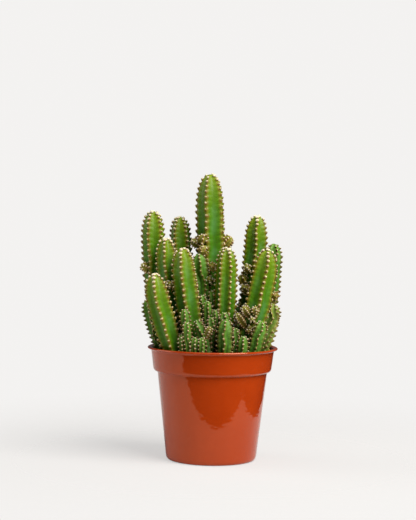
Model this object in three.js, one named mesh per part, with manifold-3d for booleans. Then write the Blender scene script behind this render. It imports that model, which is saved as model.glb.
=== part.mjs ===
// A clump of fairy-castle cactus in a round plastic nursery pot.
// Millimetres, +Z up, -Y is the front. The origin is the centre of the pot's foot, on the ground.

import * as THREE from 'three';
import { LoftGeometry } from 'three/addons/geometries/LoftGeometry.js';
import { mergeVertices } from 'three/addons/utils/BufferGeometryUtils.js';
import Module from 'manifold-3d';

const wasm = await Module();
wasm.setup();

// Pot: outside sizes are radii from the pot's axis
const potHeight = 104;
const wall = 1.25;
const lipRadius = 60;
const lipThickness = 1.8;
const bandTopRadius = 57;
const bandFootRadius = 54.2;
const bandHeight = 22.5;
const bandRound = 3;
const bodyTopRadius = 50.6;
const bodyFootRadius = 41.3;
const bodyRound = 4;
const footRingWidth = 2.6;
const footRise = 2.5;
const padRadius = 13;
const padSlope = 1;
const holeRadius = 2.3;
const holeCount = 8;
const potSides = 36;
const mergeReach = 1e-4;

// Soil
const soilDrop = 12;
const soilGap = 0.35;
const soilEdgeFall = 1.2;

// Plant: what all stems share
const rootDepth = 7;
const rootGap = 0.4;
const socketSides = 10;
const growthGap = 0.4;
const footShare = 0.7;
const swellEnd = 0.55;
const taperStart = 0.6;
const tipPower = 2.4;
const tipRings = 4;
const longestTip = 0.8;
const bigStem = { bodyRings: 4, pointsPerRib: 4, valley: 0.71, tipLength: 2.5, topTaper: 0.1 };
const smallStem = { bodyRings: 3, pointsPerRib: 2, valley: 0.74, tipLength: 2.1, topTaper: 0.05 };
const bud = { bodyRings: 3, pointsPerRib: 2, valley: 0.78, tipLength: 1.5, topTaper: 0 };

const soilLevel = potHeight - soilDrop;
const stepLevel = potHeight - bandHeight;
const floorLevel = footRise + wall;
const rootRadius = bandFootRadius - wall;

// Stems in the soil: [name, place of the foot as a share of the root radius and degrees round from
// the front towards +X, lean of the tip to +X and +Y, height over the soil, radius over the ribs,
// ribs, degrees that the first rib faces, bow of the middle to +X and +Y]
const bigStems = [
  ['tall_stem', 0.16, 159, [-7.7, -2], 170.8, 13.9, 5, -21, [-0.5, 0.5]],
  ['far_left_stem', 0.76, -103, [-17.8, -1], 136, 11.2, 5, -27, [-4, 0]],
  ['back_left_stem', 0.56, -140, [-13.4, -3], 131, 10.3, 5, -33, [-2, 1]],
  ['mid_left_stem', 0.53, -73, [-17.8, 0], 111.6, 9.4, 5, -11, [-3, 0]],
  ['front_left_stem', 0.52, -22, [-18.6, 3], 102.8, 11.2, 5, -16, [-2, 0]],
  ['centre_right_stem', 0.39, 24, [3.2, -1], 103.9, 9.6, 6, -36, [0.5, 0]],
  ['back_right_stem', 0.66, 123, [10.2, -5], 133.2, 10.9, 5, 0, [1.5, 0]],
  ['front_right_stem', 0.56, 47, [26.6, 5], 102.7, 11.3, 5, 6, [4, 0]],
  ['low_left_stem', 0.76, -44, [-26.4, -2.5], 79.3, 10.8, 5, -8, [-2.5, 0]],
  ['back_centre_stem', 0.69, 171, [2, 9], 80, 8.2, 5, 150, [0, 2]],
];

const smallStems = [
  ['slim_centre_stem', 0.17, -28, [-10, 0.5], 98.1, 6.8, 5, 8, [1, 0]],
  ['far_right_stem', 0.71, 102, [18, -3], 107.8, 7.4, 5, 22, [5, 0.5]],
  ['low_left_rear_stem', 0.77, -84, [-20.4, -4], 55.2, 5.6, 5, -10, [-1.5, 0]],
  ['low_right_stem', 0.66, 80, [21.5, 2], 52.6, 7.4, 5, -25, [2, 0.5]],
  ['low_right_inner_stem', 0.85, 44, [12.5, -3], 39.1, 5.4, 5, 0, [1, -0.5]],
  ['front_short_stem', 0.86, 14, [-0.1, 1.5], 40.6, 6.5, 5, -12, [0, -1]],
  ['front_short_rear_stem', 0.66, 18, [-0.9, 0], 46.4, 4.9, 5, 20, [0, 0.5]],
  ['back_far_left_stem', 0.81, -149, [-14, 10], 66, 7.4, 5, 200, [0, 2]],
  ['back_far_right_stem', 0.8, 150, [10, 11], 56, 7.2, 5, 170, [0, 2]],
  ['back_pup_left', 0.8, 178, [-3, 5], 30, 4.4, 5, 180, [0, 0.5]],
  ['back_pup_right', 0.45, 150, [2, 4], 38, 4.6, 5, 160, [0, 0.5]],
  ['leaning_pup_left', 0.76, -23, [-10.5, 0], 49, 3.8, 5, 0, [-1, 0]],
  ['low_pup_left', 0.9, -25, [-4, -1], 38, 3.6, 5, 20, [0, 0.5]],
  ['leaning_pup_front', 0.75, -4, [-12, 0], 39.4, 4.3, 5, -10, [2, 0]],
  ['rim_pup_left', 0.9, -19, [-1, 0], 24.5, 3.8, 5, 5, [0, 0.5]],
  ['rim_pup_centre', 0.91, -11, [-1.2, 0], 24.5, 3, 5, 25, [0, 0.5]],
  ['rim_pup_far_left', 0.92, -32, [-2, -0.5], 26.8, 2.9, 5, -15, [0, 0.5]],
  ['rim_pup_right', 0.91, 33, [0.9, 0.5], 25.7, 4.5, 5, 0, [0, 0.5]],
  ['low_pup_right', 0.79, 29, [-0.3, -0.5], 32.6, 3.4, 5, 30, [0, 0.5]],
  ['inner_pup_front', 0.65, -5, [1, 1], 41.8, 3.8, 5, 15, [0, 0.5]],
  ['inner_pup_left', 0.48, -6, [-3, 0], 55.8, 3.8, 5, 10, [0, 0.5]],
  ['inner_pup_rear', 0.34, -9, [-7.5, 0], 60.8, 3.5, 5, -20, [0, 0.5]],
  ['inner_pup_right', 0.54, 6, [-1.5, 0], 48.1, 3, 5, 0, [0, 0.5]],
  ['inner_pup_deep', 0.23, 9, [-3, -1], 65.2, 3.8, 5, 15, [0, 0.5]],
];

// Offsets on other stems: [name, parent, share of the parent's length where it sits, reach of the tip
// from the parent's axis there, radius over the ribs, degrees that the first rib faces]
const buds = [
  ['tall_upper_bud', 'tall_stem', 0.63, [-10, -15.5, 9.5], 4.4, 20],
  ['tall_lower_bud', 'tall_stem', 0.58, [-11, -15, 9], 4.1, 40],
  ['tall_left_bud', 'tall_stem', 0.6, [-19.5, -4.8, 10], 4.2, 0],
  ['tall_right_branch', 'tall_stem', 0.58, [18, -2, 17], 6.2, -10],
  ['tall_foot_bud_upper', 'tall_stem', 0.47, [-2.2, -17.6, 9.5], 4.2, 30],
  ['tall_foot_bud_lower', 'tall_stem', 0.42, [-4, -18, 8.1], 4, 0],
  ['far_left_bud', 'far_left_stem', 0.6, [-13.4, -7.4, 7.8], 4.2, 10],
  ['mid_left_bud_outer', 'mid_left_stem', 0.6, [0.5, -13, 8.3], 3, 0],
  ['mid_left_bud_inner', 'mid_left_stem', 0.57, [5, -12, 12], 3, 20],
  ['back_right_bud_upper', 'back_right_stem', 0.6, [-7.8, -11.4, 10], 3.8, 0],
  ['back_right_bud_side', 'back_right_stem', 0.54, [-13, -9.6, 9.3], 3.8, 30],
  ['back_right_bud_lower', 'back_right_stem', 0.48, [-9.3, -15, 7.3], 4.2, 15],
  ['far_right_bud_upper', 'far_right_stem', 0.58, [7.5, -9.6, 4.4], 3.4, 30],
  ['far_right_bud_lower', 'far_right_stem', 0.53, [5, -11.4, 4.3], 3.2, 0],
  ['front_right_bud_upper', 'front_right_stem', 0.42, [-10, -12.5, 13], 3.6, 10],
  ['front_right_bud_lower', 'front_right_stem', 0.32, [-13, -12, 17.5], 3.8, 35],
  ['leaning_pup_bud', 'leaning_pup_front', 0.58, [5, -2, 13.5], 3.2, 15],
];

// Offsets that follow one another down the front rib of the front right stem
const chainCount = 4;
const chainStart = 0.5;
const chainStep = 0.085;
const chainReach = [-1.8, -15, 2.8];
const chainRadius = 2.6;
for (let i = 0; i < chainCount; i++) {
  const name = `front_right_chain_bud_${i + 1}`;
  buds.push([name, 'front_right_stem', chainStart - i * chainStep, chainReach, chainRadius, 20 * i]);
}

const point = (radius, level) => new THREE.Vector2(radius, level);

function rounded(start, corner, end, steps) {
  return new THREE.QuadraticBezierCurve(start, corner, end).getPoints(steps);
}

// A closed mesh as a solid: corners merged, flat triangles at a pole or a tip left out
function solidOf(geometry) {
  const bare = new THREE.BufferGeometry();
  bare.setAttribute('position', geometry.getAttribute('position'));
  bare.setIndex(geometry.getIndex());
  const merged = mergeVertices(bare, mergeReach);
  const corners = Array.from(merged.index.array);
  const triangles = [];
  for (let i = 0; i < corners.length; i += 3) {
    const [a, b, c] = corners.slice(i, i + 3);
    if (a !== b && b !== c && c !== a) {
      triangles.push(a, b, c);
    }
  }
  return new wasm.Manifold(new wasm.Mesh({
    numProp: 3,
    vertProperties: new Float32Array(merged.attributes.position.array),
    triVerts: new Uint32Array(triangles),
  }));
}

function turned(outline) {
  return solidOf(new THREE.LatheGeometry(outline, potSides).rotateX(Math.PI / 2));
}

function meshOf(name, solid, color, roughness) {
  const { vertProperties, triVerts } = solid.getMesh();
  const geometry = new THREE.BufferGeometry();
  geometry.setAttribute('position', new THREE.BufferAttribute(vertProperties, 3));
  geometry.setIndex(new THREE.BufferAttribute(triVerts, 1));
  geometry.computeVertexNormals();
  const material = new THREE.MeshStandardMaterial({ color, roughness, metalness: 0 });
  const mesh = new THREE.Mesh(geometry, material);
  mesh.name = name;
  return mesh;
}

function bodyOutside(level) {
  return bodyFootRadius + (bodyTopRadius - bodyFootRadius) * level / stepLevel;
}

function bandOutside(level) {
  return bandFootRadius + (bandTopRadius - bandFootRadius) * (level - stepLevel) / bandHeight;
}

// The inside of the pot from the middle of the floor up to the step, moved inwards by a gap
function insideOutline(gap) {
  const cornerLevel = floorLevel + bodyRound;
  const floorRadius = bodyOutside(floorLevel) - wall - gap;
  const sideRadius = bodyOutside(cornerLevel) - wall - gap;
  const stepInside = stepLevel + wall + gap;
  return [
    point(0, wall + gap),
    point(padRadius - wall - gap, wall + gap),
    point(padRadius + padSlope - wall - gap, floorLevel + gap),
    ...rounded(
      point(floorRadius - bodyRound, floorLevel + gap),
      point(floorRadius, floorLevel + gap),
      point(sideRadius, cornerLevel + gap),
      3,
    ),
    point(bodyTopRadius - wall - gap, stepInside),
    point(bandFootRadius - wall - gap, stepInside),
  ];
}

function bandInside(level) {
  return bandOutside(level) - wall;
}

function makePot() {
  const lipFoot = potHeight - lipThickness;
  const lipRound = lipThickness / 2;
  const lipMiddle = potHeight - lipRound;
  const footRadius = bodyFootRadius - bodyRound + footRingWidth / 2;
  const outside = [
    point(0, 0),
    point(padRadius, 0),
    point(padRadius + padSlope, footRise),
    point(footRadius - footRingWidth - padSlope, footRise),
    point(footRadius - footRingWidth, 0),
    ...rounded(point(footRadius, 0), point(bodyFootRadius, 0), point(bodyOutside(bodyRound), bodyRound), 3),
    point(bodyTopRadius, stepLevel),
    ...rounded(
      point(bandFootRadius - bandRound, stepLevel),
      point(bandFootRadius, stepLevel),
      point(bandOutside(stepLevel + bandRound), stepLevel + bandRound),
      3,
    ),
    point(bandOutside(lipFoot - lipRound), lipFoot - lipRound),
    point(bandOutside(potHeight) + lipRound, lipFoot),
    ...rounded(point(lipRadius - lipRound, lipFoot), point(lipRadius, lipFoot), point(lipRadius, lipMiddle), 2),
    point(lipRadius - lipRound / 2, potHeight - lipRound / 4),
    point(lipRadius - lipRound, potHeight),
    point(bandInside(potHeight) + lipRound, potHeight),
    point(bandInside(potHeight - lipRound), potHeight - lipRound),
  ];
  const shell = turned([...outside, ...insideOutline(0).reverse()]);
  return cutHoles(shell, footRadius - footRingWidth);
}

function cutHoles(shell, ringInside) {
  const holeCircle = (padRadius + padSlope + ringInside) / 2;
  let drained = shell;
  for (let i = 0; i < holeCount; i++) {
    const angle = (i / holeCount) * 2 * Math.PI;
    const drill = new THREE.CylinderGeometry(holeRadius, holeRadius, 2 * floorLevel, 8);
    drill.rotateX(Math.PI / 2);
    drill.translate(holeCircle * Math.cos(angle), holeCircle * Math.sin(angle), floorLevel);
    drained = drained.subtract(solidOf(drill));
  }
  return drained;
}

function makeSoil(sockets) {
  const edge = soilLevel - soilEdgeFall;
  const body = turned([
    ...insideOutline(soilGap),
    point(bandInside(edge) - soilGap, edge),
    point(bandInside(edge) - soilGap - 2 * soilEdgeFall, soilLevel),
    point(0, soilLevel),
  ]);
  return largest(sockets.reduce((soil, socket) => soil.subtract(socket), body));
}

// The pot's floor, step and wall, which stems must keep out of
function potZone() {
  return turned([
    point(0, 0),
    point(lipRadius + growthGap, 0),
    point(lipRadius + growthGap, potHeight + growthGap),
    point(bandInside(potHeight) - growthGap, potHeight + growthGap),
    ...insideOutline(growthGap).reverse(),
  ]);
}

function rootedStem([name, out, round, lean, height, radius, ribs, facing, bow], form) {
  const angle = THREE.MathUtils.degToRad(round);
  const x = out * rootRadius * Math.sin(angle);
  const y = -out * rootRadius * Math.cos(angle);
  const foot = new THREE.Vector3(x, y, soilLevel - rootDepth);
  const tip = new THREE.Vector3(x + lean[0], y + lean[1], soilLevel + height);
  return { name, form, radius, ribs, facing, rooted: true, axis: bowedAxis(foot, tip, bow) };
}

function offset([name, parentName, share, reach, radius, facing], parents) {
  const parent = parents.find((stem) => stem.name === parentName);
  const foot = parent.axis.getPointAt(share);
  const tip = foot.clone().add(new THREE.Vector3(...reach));
  return { name, form: bud, radius, ribs: 5, facing, rooted: false, axis: bowedAxis(foot, tip, [0, 0]) };
}

function bowedAxis(foot, tip, bow) {
  const middle = foot.clone().add(tip).multiplyScalar(0.5);
  middle.x += 2 * bow[0];
  middle.y += 2 * bow[1];
  return new THREE.QuadraticBezierCurve3(foot, middle, tip);
}

// The share of the length that the rounded tip takes
function tipShareOf(piece) {
  return Math.min(piece.form.tipLength * piece.radius / piece.axis.getLength(), longestTip);
}

// Radius over the ribs at a share of the length: thinner at the foot, fullest in the middle
function girth(piece, share) {
  const tipShare = tipShareOf(piece);
  const swell = footShare + (1 - footShare) * THREE.MathUtils.smoothstep(share, 0, swellEnd);
  const taper = 1 - piece.form.topTaper * THREE.MathUtils.smoothstep(share, taperStart, 1);
  const intoTip = Math.max(0, share - 1 + tipShare) / tipShare;
  return piece.radius * swell * taper * Math.sqrt(Math.max(0, 1 - intoTip ** tipPower));
}

function stations(piece) {
  const tipShare = tipShareOf(piece);
  const shares = [];
  for (let i = 0; i < piece.form.bodyRings; i++) {
    shares.push((1 - tipShare) * i / piece.form.bodyRings);
  }
  for (let i = 0; i <= tipRings; i++) {
    shares.push(1 - tipShare * (1 - Math.sin((i / tipRings) * Math.PI / 2)));
  }
  return shares;
}

// One ribbed ring of the stem, square to its axis, grown outwards by a clearance
function ribbedRing(piece, share, grow) {
  const centre = piece.axis.getPointAt(share);
  const along = piece.axis.getTangentAt(share);
  const front = new THREE.Vector3(0, -1, 0).addScaledVector(along, along.y).normalize();
  const side = new THREE.Vector3().crossVectors(along, front);
  const crest = girth(piece, share);
  const count = piece.ribs * piece.form.pointsPerRib;
  if (share === 1) {
    centre.addScaledVector(along, grow);
  }
  const ring = [];
  for (let i = 0; i < count; i++) {
    const fromCrest = Math.abs(((i / piece.form.pointsPerRib + 0.5) % 1) - 0.5) * 2;
    const depth = 1 - (1 - piece.form.valley) * Math.sin(fromCrest * Math.PI / 2);
    const reach = share === 1 ? 0 : crest * depth + grow;
    const angle = THREE.MathUtils.degToRad(piece.facing) + (i / count) * 2 * Math.PI;
    const spot = centre.clone().addScaledVector(front, reach * Math.cos(angle));
    ring.push(spot.addScaledVector(side, reach * Math.sin(angle)));
  }
  return ring;
}

function stemSolid(piece, grow) {
  const rings = stations(piece).map((share) => ribbedRing(piece, share, grow));
  return solidOf(new LoftGeometry(rings, { capStart: true }));
}

// The round hole in the soil round a stem's foot
function socket(piece) {
  const neck = girth(piece, 2 * rootDepth / piece.axis.getLength());
  const radius = (neck + rootGap) / Math.cos(Math.PI / socketSides);
  const depth = rootDepth + rootGap;
  const drill = new THREE.CylinderGeometry(radius, radius, 2 * depth, socketSides);
  const along = piece.axis.getTangentAt(0);
  const foot = piece.axis.getPointAt(0).addScaledVector(along, depth - rootGap);
  drill.applyQuaternion(new THREE.Quaternion().setFromUnitVectors(new THREE.Vector3(0, 1, 0), along));
  drill.translate(foot.x, foot.y, foot.z);
  return solidOf(drill);
}

function largest(solid) {
  const lumps = solid.decompose();
  return lumps.reduce((best, lump) => (lump.volume() > best.volume() ? lump : best));
}

// Each piece grows up against the ones before it, and keeps a small gap to them and to the pot
function growClump(pieces) {
  const zones = [potZone()];
  for (const piece of pieces) {
    const body = zones.reduce((left, zone) => (meet(left, zone) ? left.subtract(zone) : left), stemSolid(piece, 0));
    piece.solid = largest(body);
    zones.push(stemSolid(piece, growthGap));
  }
}

function meet(first, second) {
  const a = first.boundingBox();
  const b = second.boundingBox();
  return [0, 1, 2].every((i) => a.min[i] <= b.max[i] && b.min[i] <= a.max[i]);
}

const stems = [
  ...bigStems.map((row) => rootedStem(row, bigStem)),
  ...smallStems.map((row) => rootedStem(row, smallStem)),
];
const offsets = buds.map((row) => offset(row, stems));
growClump([...stems, ...offsets]);

const group = new THREE.Group();
group.add(meshOf('pot', makePot(), 0xb8401c, 0.3));
group.add(meshOf('soil', makeSoil(stems.map(socket)), 0x2b1c12, 0.95));
for (const piece of stems) {
  group.add(meshOf(piece.name, piece.solid, 0x4f8a2c, 0.5));
}
for (const piece of offsets) {
  group.add(meshOf(piece.name, piece.solid, 0x6f8f3a, 0.6));
}

export default group;
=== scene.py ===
import math

import bmesh
import bpy
import numpy as np
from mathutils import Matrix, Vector, noise


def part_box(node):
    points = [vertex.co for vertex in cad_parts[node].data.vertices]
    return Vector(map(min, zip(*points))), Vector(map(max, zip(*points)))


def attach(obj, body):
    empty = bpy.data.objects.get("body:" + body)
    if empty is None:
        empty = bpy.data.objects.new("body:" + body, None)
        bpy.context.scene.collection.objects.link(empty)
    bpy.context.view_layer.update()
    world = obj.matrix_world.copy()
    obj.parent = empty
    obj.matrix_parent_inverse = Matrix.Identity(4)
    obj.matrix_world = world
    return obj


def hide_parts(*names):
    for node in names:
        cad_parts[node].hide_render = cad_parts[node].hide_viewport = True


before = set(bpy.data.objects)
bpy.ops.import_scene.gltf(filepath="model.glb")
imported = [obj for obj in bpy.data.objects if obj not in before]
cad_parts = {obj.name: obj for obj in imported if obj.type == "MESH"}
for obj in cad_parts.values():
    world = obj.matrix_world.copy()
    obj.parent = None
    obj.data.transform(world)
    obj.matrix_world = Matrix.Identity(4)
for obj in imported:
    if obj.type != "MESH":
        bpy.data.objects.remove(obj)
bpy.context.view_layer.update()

# the box of each imported part
mm = 0.001
nodeBoxes = {name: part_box(name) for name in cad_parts}


def sockets(tree, side, **kinds):
    for name, (kind, value) in kinds.items():
        made = tree.interface.new_socket(name, in_out=side, socket_type="NodeSocket" + kind)
        if value is not None:
            made.default_value = value


def add(tree, kind, inputs=None, **settings):
    made = tree.nodes.new(kind)
    for name, value in settings.items():
        setattr(made, name, value)
    for key, value in (inputs or {}).items():
        if isinstance(value, bpy.types.NodeSocket):
            tree.links.new(value, made.inputs[key])
        else:
            made.inputs[key].default_value = value
    return made


def calc(tree, operation, *values):
    made = tree.nodes.new("ShaderNodeMath")
    made.operation = operation
    for i, value in enumerate(values):
        if isinstance(value, bpy.types.NodeSocket):
            tree.links.new(value, made.inputs[i])
        else:
            made.inputs[i].default_value = value
    return made.outputs[0]


def times(tree, product, *others):
    for value in others:
        product = calc(tree, "MULTIPLY", product, value)
    return product


def vectorCalc(tree, operation, a, b=None, scale=None):
    made = tree.nodes.new("ShaderNodeVectorMath")
    made.operation = operation
    for i, value in ((0, a), (1, b)):
        if isinstance(value, bpy.types.NodeSocket):
            tree.links.new(value, made.inputs[i])
        elif value is not None:
            made.inputs[i].default_value = value
    if isinstance(scale, bpy.types.NodeSocket):
        tree.links.new(scale, made.inputs["Scale"])
    elif scale is not None:
        made.inputs["Scale"].default_value = scale
    return made.outputs["Value"] if operation in {"DOT_PRODUCT", "LENGTH"} else made.outputs[0]


def stored(tree, name, kind="FLOAT"):
    return add(tree, "GeometryNodeInputNamedAttribute", {"Name": name}, data_type=kind).outputs["Attribute"]


def store(tree, geometry, name, value, kind="FLOAT", domain="POINT"):
    made = add(tree, "GeometryNodeStoreNamedAttribute", {"Geometry": geometry, "Name": name, "Value": value},
               data_type=kind, domain=domain)
    return made.outputs[0]


def drawn(tree, low, high, seed):
    # a random number for each point
    return add(tree, "FunctionNodeRandomValue", {"Min": low, "Max": high, "Seed": seed},
               data_type="FLOAT").outputs[1]


def aimed(tree, direction):
    # a rotation that turns +Z to a direction
    return add(tree, "FunctionNodeAlignRotationToVector", {"Vector": direction}, axis="Z").outputs[0]


def smoothed(tree, geometry):
    return add(tree, "GeometryNodeSetShadeSmooth", {"Geometry": geometry, "Shade Smooth": True}).outputs[0]


def realized(tree, geometry):
    return add(tree, "GeometryNodeRealizeInstances", {"Geometry": geometry}).outputs[0]


def finished(tree, geometry, material):
    # every tree ends with its material and its output
    dressed = add(tree, "GeometryNodeSetMaterial", {"Geometry": geometry, "Material": material}).outputs[0]
    add(tree, "NodeGroupOutput", {"Geometry": dressed})


def meshObject(name, verts, faces=(), edges=()):
    mesh = bpy.data.meshes.new(name)
    mesh.from_pydata([tuple(v) for v in verts], list(edges), list(faces))
    made = bpy.data.objects.new(name, mesh)
    bpy.context.scene.collection.objects.link(made)
    return made


def baked(thing, tree, name, **values):
    # runs one node tree on an object and returns the outcome as a plain mesh
    modifier = thing.modifiers.new(tree.name, "NODES")
    modifier.node_group = tree
    for item in tree.interface.items_tree:
        if item.item_type == "SOCKET" and item.in_out == "INPUT" and item.name in values:
            modifier[item.identifier] = values[item.name]
    found = thing.evaluated_get(bpy.context.evaluated_depsgraph_get())
    mesh = bpy.data.meshes.new_from_object(found)
    mesh.name = name
    thing.modifiers.remove(modifier)
    return mesh


def pieceOf(name, mesh, slot, *nodes):
    made = bpy.data.objects.new(name, mesh)
    bpy.context.scene.collection.objects.link(made)
    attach(made, "root")
    if nodes:
        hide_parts(*nodes)
    return made


def joined(meshes):
    # one mesh out of several that share their material
    made = bmesh.new()
    for mesh in meshes:
        made.from_mesh(mesh)
    whole = bpy.data.meshes.new("joined")
    for material in meshes[0].materials:
        whole.materials.append(material)
    made.to_mesh(whole)
    made.free()
    for mesh in meshes:
        bpy.data.meshes.remove(mesh)
    return whole


def merged(node):
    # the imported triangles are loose, so equal corners are made one
    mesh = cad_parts[node].data
    ids, points, which = {}, [], []
    for v in mesh.vertices:
        key = tuple(round(c / (0.02 * mm)) for c in v.co)
        if key not in ids:
            ids[key] = len(points)
            points.append(v.co.copy())
        which.append(ids[key])
    near = [set() for _ in points]
    triangles = []
    mesh.calc_loop_triangles()
    for t in mesh.loop_triangles:
        corners = [which[i] for i in t.vertices]
        if len(set(corners)) < 3:
            continue
        triangles.append(corners)
        for i in range(3):
            near[corners[i]].add(corners[i - 1])
            near[corners[i - 1]].add(corners[i])
    return points, near, triangles


soilLevel = nodeBoxes["soil"][1].z
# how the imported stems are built: rings in a tip, the power of its dome, the most rings that are read,
# rings in a whole shaft, and the fewest neighbours of a growing point
tipRings = 4
tipPower = 2.4
mostRings = 8
shaftRings = 7
hubNeighbours = 9
# shares of a stem's own widths, and lengths, for what a cut stem no longer shows
readForm = {"rooted": 2 * mm, "footSlice": 0.6 * mm, "shaftFoot": 0.9, "rootFoot": 0.8, "budFoot": 0.72,
            "stemTip": 2.2, "budTip": 1.5, "middleWidth": 0.9, "budReach": 0.85, "leastReach": 1.5 * mm,
            "intoSoil": 1.5 * mm, "intoParent": 3.5 * mm, "pointStep": 0.5 * mm}


def middleOf(points):
    return sum(points, Vector()) / len(points)


def ringNormal(ring, centre, towards):
    total = Vector()
    for i, a in enumerate(ring):
        for b in ring[i + 1:]:
            turn = (a - centre).cross(b - centre)
            total += turn if turn.dot(towards) > 0 else -turn
    return total.normalized()


def domed(share):
    # width of the tip at a share of its length below the growing point
    return math.sqrt(1 - (1 - min(share, 1)) ** tipPower)


def readStem(node):
    points, near, _ = merged(node)
    apex = max((i for i in range(len(points)) if len(near[i]) >= hubNeighbours), key=lambda i: points[i].z)
    seen = {apex}
    ring = set(near[apex])
    count = len(ring)
    rings = []
    while len(ring) == count and len(rings) < mostRings:
        rings.append([points[i] for i in ring])
        seen |= ring
        ring = set().union(*(near[i] for i in ring)) - seen
    rest = [p for i, p in enumerate(points) if i not in seen]
    top = points[apex]
    centres = [middleOf(ring) for ring in rings]
    widths = [max((p - c).length for p in ring) for ring, c in zip(rings, centres)]
    tipDirection = ringNormal(rings[0], centres[0], top - centres[0])
    rooted = min(p.z for p in points) < soilLevel - readForm["rooted"]
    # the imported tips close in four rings, and neighbours may have cut the lower ones away
    k = min(len(rings), tipRings)
    share = 1 - math.sin(math.radians(90 * (tipRings - k) / tipRings))
    fromTop = sum((a - b).length for a, b in zip([top] + centres[:k - 1], centres[:k]))
    if k > 1:
        radius, tipLength = widths[k - 1] / domed(share), fromTop / share
    else:
        spread = sorted((p - centres[0]).length for p in rings[0])
        size = nodeBoxes[node][1] - nodeBoxes[node][0]
        radius = min(spread[len(spread) // 2] / readForm["middleWidth"] / domed(share), (size.x + size.y) / 4)
        tipLength = radius * readForm["stemTip" if rooted else "budTip"]
    if len(rings) >= shaftRings:
        foot = centres[-1]
        centres, widths = centres[:-1], widths[:-1]
        footWidth = widths[-1] * readForm["shaftFoot"]
    elif rooted:
        lowest = min(p.z for p in points)
        foot = middleOf([p for p in points if p.z < lowest + readForm["footSlice"]])
        footWidth = radius * readForm["rootFoot"]
    else:
        # a bud leaves its parent between its own direction and that of its cut foot
        end = centres[-1]
        aim = ((end - top).normalized() + (middleOf(rest) - end).normalized()).normalized()
        reach = readForm["budReach"] * max((p - end).dot(aim) for p in rest)
        foot = end + aim * max(readForm["leastReach"], reach)
        footWidth = radius * readForm["budFoot"]
    last = min(len(rings), tipRings) - 1
    front = max(rings[last], key=lambda p: (p - centres[last]).length) - centres[last]
    return {"top": top, "centres": centres, "widths": widths, "tipDirection": tipDirection,
            "tipLength": tipLength, "radius": radius, "foot": foot, "footWidth": footWidth,
            "rooted": rooted, "front": front, "ribs": count // 4 if count >= 20 else 5, "rings": len(rings)}


def axisPoints(stem):
    # from the growing point down to the foot, a point about every half millimetre
    knots = [stem["top"], *stem["centres"]]
    end = knots[-1]
    chord = stem["foot"] - end
    down = (knots[-1] - knots[-2]).normalized() if stem["rings"] >= tipRings else -stem["tipDirection"]
    straight = chord.normalized()
    leave = (straight * (2 * straight.dot(down)) - down).normalized()
    reach = chord.length / 3
    bend = [end, end + down * reach, stem["foot"] - leave * reach, stem["foot"]]
    # a bud goes on into its parent, a stem into the soil
    beyond = stem["foot"] + leave * readForm["intoSoil" if stem["rooted"] else "intoParent"]
    line = []
    for i in range(len(knots) - 1):
        a = knots[max(i - 1, 0)]
        b, c = knots[i], knots[i + 1]
        d = knots[i + 2] if i + 2 < len(knots) else end + down * (c - b).length
        if i == 0:
            a = b + stem["tipDirection"] * (c - b).length
        steps = max(2, math.ceil((c - b).length / readForm["pointStep"]))
        for k in range(steps):
            t = k / steps
            line.append(0.5 * (2 * b + (c - a) * t + (2 * a - 5 * b + 4 * c - d) * t ** 2
                               + (3 * b - a - 3 * c + d) * t ** 3))
    steps = max(4, math.ceil(chord.length / readForm["pointStep"]))
    for k in range(steps):
        t = k / steps
        u = 1 - t
        line.append(bend[0] * u ** 3 + bend[1] * 3 * u * u * t + bend[2] * 3 * u * t * t + bend[3] * t ** 3)
    line.append(stem["foot"])
    line.append(beyond)
    return line


def railOf(stem, stepsPerAreole, pitch, crowd):
    line = axisPoints(stem)
    along = np.concatenate([[0], np.cumsum([(b - a).length for a, b in zip(line, line[1:])])])
    total = along[-1]
    # crest widths: the dome law over the tip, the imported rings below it
    tip = stem["tipLength"]
    below = [tip]
    widths = [stem["radius"]]
    distance = 0
    previous = stem["top"]
    for i, c in enumerate(stem["centres"]):
        distance += (c - previous).length
        previous = c
        if i >= tipRings:
            below.append(distance)
            widths.append(stem["widths"][i])
    below.append(max(total - 2 * mm, below[-1] + 0.5 * mm))
    widths.append(stem["footWidth"])

    def widthAt(s):
        if s < tip:
            return stem["radius"] * domed(s / tip)
        return float(np.interp(s, below, widths))

    # areoles sit closer together towards the growing point
    near = 0.6 * stem["radius"]
    table = np.linspace(0, total, 2000)
    phases = table / pitch + crowd * near / pitch * (1 - np.exp(-table / near))
    count = int(phases[-1] * stepsPerAreole)
    steps = [(0.0, 0), (0.12, -1), (0.4, -1)] + [(k, k) for k in range(1, count + 1)]
    rail = []
    xs, ys, zs = ([p[i] for p in line] for i in range(3))
    for place, step in steps:
        s = float(np.interp(place / stepsPerAreole, phases, table))
        here = Vector([float(np.interp(s, along, values)) for values in (xs, ys, zs)])
        phase = place / stepsPerAreole
        rail.append({"place": here, "s": s, "phase": phase, "step": step, "reach": widthAt(s)})
    rail[0]["reach"] = 0
    for i, point in enumerate(rail):
        a, b = rail[max(i - 2, 0)]["place"], rail[min(i + 2, len(rail) - 1)]["place"]
        point["up"] = (a - b).normalized()
    for point in rail:
        front = stem["front"] - point["up"] * stem["front"].dot(point["up"])
        point["front"] = front.normalized()
        point["side"] = point["up"].cross(point["front"])
    return rail


def railObject(name, rail):
    made = meshObject(name, [p["place"] for p in rail], edges=[(i, i + 1) for i in range(len(rail) - 1)])
    for key, kind in (("reach", "FLOAT"), ("phase", "FLOAT"), ("s", "FLOAT"), ("step", "INT"),
                      ("front", "FLOAT_VECTOR"), ("side", "FLOAT_VECTOR"), ("place", "FLOAT_VECTOR")):
        layer = made.data.attributes.new(key, kind, "POINT")
        if kind == "FLOAT_VECTOR":
            layer.data.foreach_set("vector", [c for p in rail for c in p[key]])
        else:
            layer.data.foreach_set("value", [p[key] for p in rail])
    return made


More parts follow.
